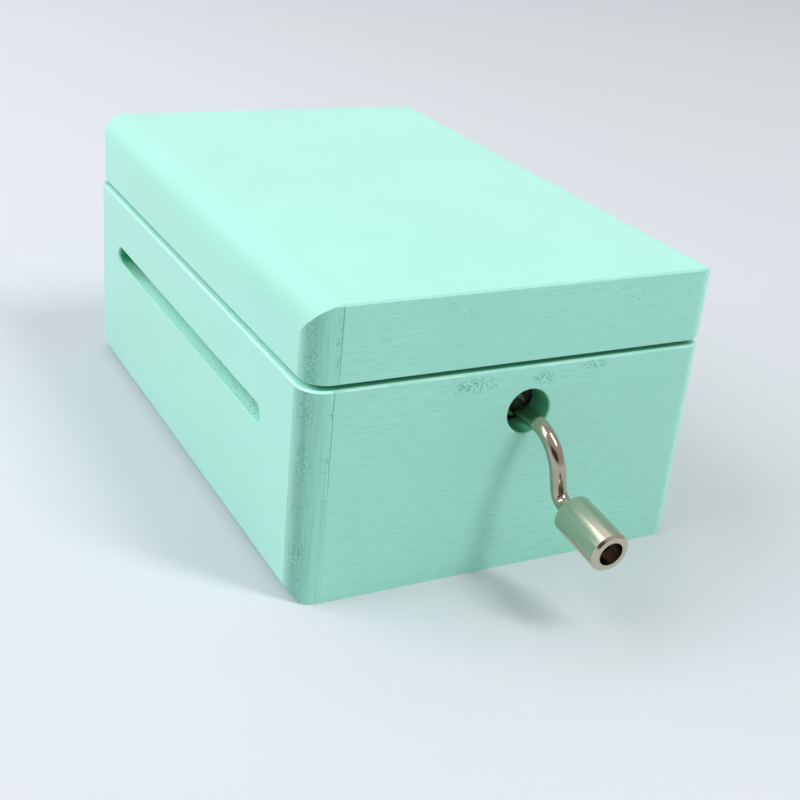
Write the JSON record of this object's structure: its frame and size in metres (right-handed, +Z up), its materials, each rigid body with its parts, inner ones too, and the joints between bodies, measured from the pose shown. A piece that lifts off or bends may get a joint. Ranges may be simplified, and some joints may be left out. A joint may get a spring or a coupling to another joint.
{
  "type": "paper strip music box",
  "caption": "Hand cranked music box in a mint green painted wooden case, with a hinged lid, a bent wire crank, strip slots and a comb movement.",
  "frame": {"origin": "centre of the case underside, on the surface it stands on", "axes": "+Z up, +Y from the crank side to the back, +X towards the hinges (away from the slot seen in the picture)"},
  "size_m": [0.0717, 0.1263, 0.0478],
  "materials": {
    "painted_wood": "mint green satin paint",
    "brass": "satin",
    "nickel": "nickel plated, polished",
    "steel": "ground",
    "zinc": "cast, tumbled",
    "guide_steel": "sheet, nickel plated",
    "star_steel": "stamped",
    "rubber": "matte",
    "lead": "matte lead"
  },
  "bodies": {
    "case": {"front_board": "painted_wood", "back_board": "painted_wood", "left_board": "painted_wood", "right_board": "painted_wood", "floor_panel": "painted_wood", "body_hinge_leaves": "brass", "shaft_bushes": "brass", "star_spacer_bar": "brass", "body_magnets": "nickel", "hinge_pins": "steel", "body_hinge_screws": "steel", "mounting_screws": "steel", "comb_screws": "steel", "frame_screws": "steel", "star_axle": "steel", "comb": "steel", "movement_base": "zinc", "front_frame": "zinc", "back_frame": "zinc", "crank_bracket": "zinc", "comb_bridge": "zinc", "lower_strip_guide": "guide_steel", "upper_strip_guide": "guide_steel", "comb_weights": "lead"},
    "lid": {"lid_top_panel": "painted_wood", "lid_front_rail": "painted_wood", "lid_back_rail": "painted_wood", "lid_left_rail": "painted_wood", "lid_right_rail": "painted_wood", "lid_hinge_leaves": "brass", "lid_hinge_screws": "steel", "lid_magnets": "nickel"},
    "drive_roller_set": {"drive_roller": "steel", "roller_gear": "brass", "rubber_rings": "rubber"},
    "crank": {"crank_wire": "nickel", "crank_pinion_shaft": "steel"},
    "knob": {"crank_knob": "nickel"},
    "pressure_roller_set": {"pressure_roller": "steel"},
    "star_wheel_01": {"star_wheel_01": "star_steel"},
    "star_wheel_02": {"star_wheel_02": "star_steel"},
    "star_wheel_03": {"star_wheel_03": "star_steel"},
    "star_wheel_04": {"star_wheel_04": "star_steel"},
    "star_wheel_05": {"star_wheel_05": "star_steel"},
    "star_wheel_06": {"star_wheel_06": "star_steel"},
    "star_wheel_07": {"star_wheel_07": "star_steel"},
    "star_wheel_08": {"star_wheel_08": "star_steel"},
    "star_wheel_09": {"star_wheel_09": "star_steel"},
    "star_wheel_10": {"star_wheel_10": "star_steel"},
    "star_wheel_11": {"star_wheel_11": "star_steel"},
    "star_wheel_12": {"star_wheel_12": "star_steel"},
    "star_wheel_13": {"star_wheel_13": "star_steel"},
    "star_wheel_14": {"star_wheel_14": "star_steel"},
    "star_wheel_15": {"star_wheel_15": "star_steel"},
    "star_wheel_16": {"star_wheel_16": "star_steel"},
    "star_wheel_17": {"star_wheel_17": "star_steel"},
    "star_wheel_18": {"star_wheel_18": "star_steel"},
    "star_wheel_19": {"star_wheel_19": "star_steel"},
    "star_wheel_20": {"star_wheel_20": "star_steel"}
  },
  "joints": [
    {"name": "lid_hinge", "type": "hinge", "parent": "case", "child": "lid", "pos_m": [0.0359, 0, 0.0354], "axis": [0, 1, 0], "range_deg": [0, 180]},
    {"name": "drive_roller_turn", "type": "hinge", "parent": "case", "child": "drive_roller_set", "pos_m": [0.01309, 0.001, 0.0279], "axis": [0, 1, 0], "continuous": true},
    {"name": "crank_turn", "type": "hinge", "parent": "case", "child": "crank", "pos_m": [0.003, -0.052, 0.0264], "axis": [0, 1, 0], "continuous": true},
    {"name": "knob_spin", "type": "hinge", "parent": "crank", "child": "knob", "pos_m": [0.00466, -0.06365, 0.01579], "axis": [0.0181, -0.9932, -0.1153], "continuous": true},
    {"name": "pressure_roller_turn", "type": "hinge", "parent": "case", "child": "pressure_roller_set", "pos_m": [0.01309, 0.001, 0.0217], "axis": [0, 1, 0], "continuous": true},
    {"name": "star_wheel_01_turn", "type": "hinge", "parent": "case", "child": "star_wheel_01", "pos_m": [-0.0035, -0.0275, 0.0269], "axis": [0, 1, 0], "continuous": true},
    {"name": "star_wheel_02_turn", "type": "hinge", "parent": "case", "child": "star_wheel_02", "pos_m": [-0.0035, -0.0245, 0.0269], "axis": [0, 1, 0], "continuous": true},
    {"name": "star_wheel_03_turn", "type": "hinge", "parent": "case", "child": "star_wheel_03", "pos_m": [-0.0035, -0.0215, 0.0269], "axis": [0, 1, 0], "continuous": true},
    {"name": "star_wheel_04_turn", "type": "hinge", "parent": "case", "child": "star_wheel_04", "pos_m": [-0.0035, -0.0185, 0.0269], "axis": [0, 1, 0], "continuous": true},
    {"name": "star_wheel_05_turn", "type": "hinge", "parent": "case", "child": "star_wheel_05", "pos_m": [-0.0035, -0.0155, 0.0269], "axis": [0, 1, 0], "continuous": true},
    {"name": "star_wheel_06_turn", "type": "hinge", "parent": "case", "child": "star_wheel_06", "pos_m": [-0.0035, -0.0125, 0.0269], "axis": [0, 1, 0], "continuous": true},
    {"name": "star_wheel_07_turn", "type": "hinge", "parent": "case", "child": "star_wheel_07", "pos_m": [-0.0035, -0.0095, 0.0269], "axis": [0, 1, 0], "continuous": true},
    {"name": "star_wheel_08_turn", "type": "hinge", "parent": "case", "child": "star_wheel_08", "pos_m": [-0.0035, -0.0065, 0.0269], "axis": [0, 1, 0], "continuous": true},
    {"name": "star_wheel_09_turn", "type": "hinge", "parent": "case", "child": "star_wheel_09", "pos_m": [-0.0035, -0.0035, 0.0269], "axis": [0, 1, 0], "continuous": true},
    {"name": "star_wheel_10_turn", "type": "hinge", "parent": "case", "child": "star_wheel_10", "pos_m": [-0.0035, -0.0005, 0.0269], "axis": [0, 1, 0], "continuous": true},
    {"name": "star_wheel_11_turn", "type": "hinge", "parent": "case", "child": "star_wheel_11", "pos_m": [-0.0035, 0.0025, 0.0269], "axis": [0, 1, 0], "continuous": true},
    {"name": "star_wheel_12_turn", "type": "hinge", "parent": "case", "child": "star_wheel_12", "pos_m": [-0.0035, 0.0055, 0.0269], "axis": [0, 1, 0], "continuous": true},
    {"name": "star_wheel_13_turn", "type": "hinge", "parent": "case", "child": "star_wheel_13", "pos_m": [-0.0035, 0.0085, 0.0269], "axis": [0, 1, 0], "continuous": true},
    {"name": "star_wheel_14_turn", "type": "hinge", "parent": "case", "child": "star_wheel_14", "pos_m": [-0.0035, 0.0115, 0.0269], "axis": [0, 1, 0], "continuous": true},
    {"name": "star_wheel_15_turn", "type": "hinge", "parent": "case", "child": "star_wheel_15", "pos_m": [-0.0035, 0.0145, 0.0269], "axis": [0, 1, 0], "continuous": true},
    {"name": "star_wheel_16_turn", "type": "hinge", "parent": "case", "child": "star_wheel_16", "pos_m": [-0.0035, 0.0175, 0.0269], "axis": [0, 1, 0], "continuous": true},
    {"name": "star_wheel_17_turn", "type": "hinge", "parent": "case", "child": "star_wheel_17", "pos_m": [-0.0035, 0.0205, 0.0269], "axis": [0, 1, 0], "continuous": true},
    {"name": "star_wheel_18_turn", "type": "hinge", "parent": "case", "child": "star_wheel_18", "pos_m": [-0.0035, 0.0235, 0.0269], "axis": [0, 1, 0], "continuous": true},
    {"name": "star_wheel_19_turn", "type": "hinge", "parent": "case", "child": "star_wheel_19", "pos_m": [-0.0035, 0.0265, 0.0269], "axis": [0, 1, 0], "continuous": true},
    {"name": "star_wheel_20_turn", "type": "hinge", "parent": "case", "child": "star_wheel_20", "pos_m": [-0.0035, 0.0295, 0.0269], "axis": [0, 1, 0], "continuous": true}
  ],
  "couplings": [
    {"joint": "drive_roller_turn", "follows": "crank_turn", "ratio": -0.54545},
    {"joint": "pressure_roller_turn", "follows": "crank_turn", "ratio": 0.79545}
  ]
}
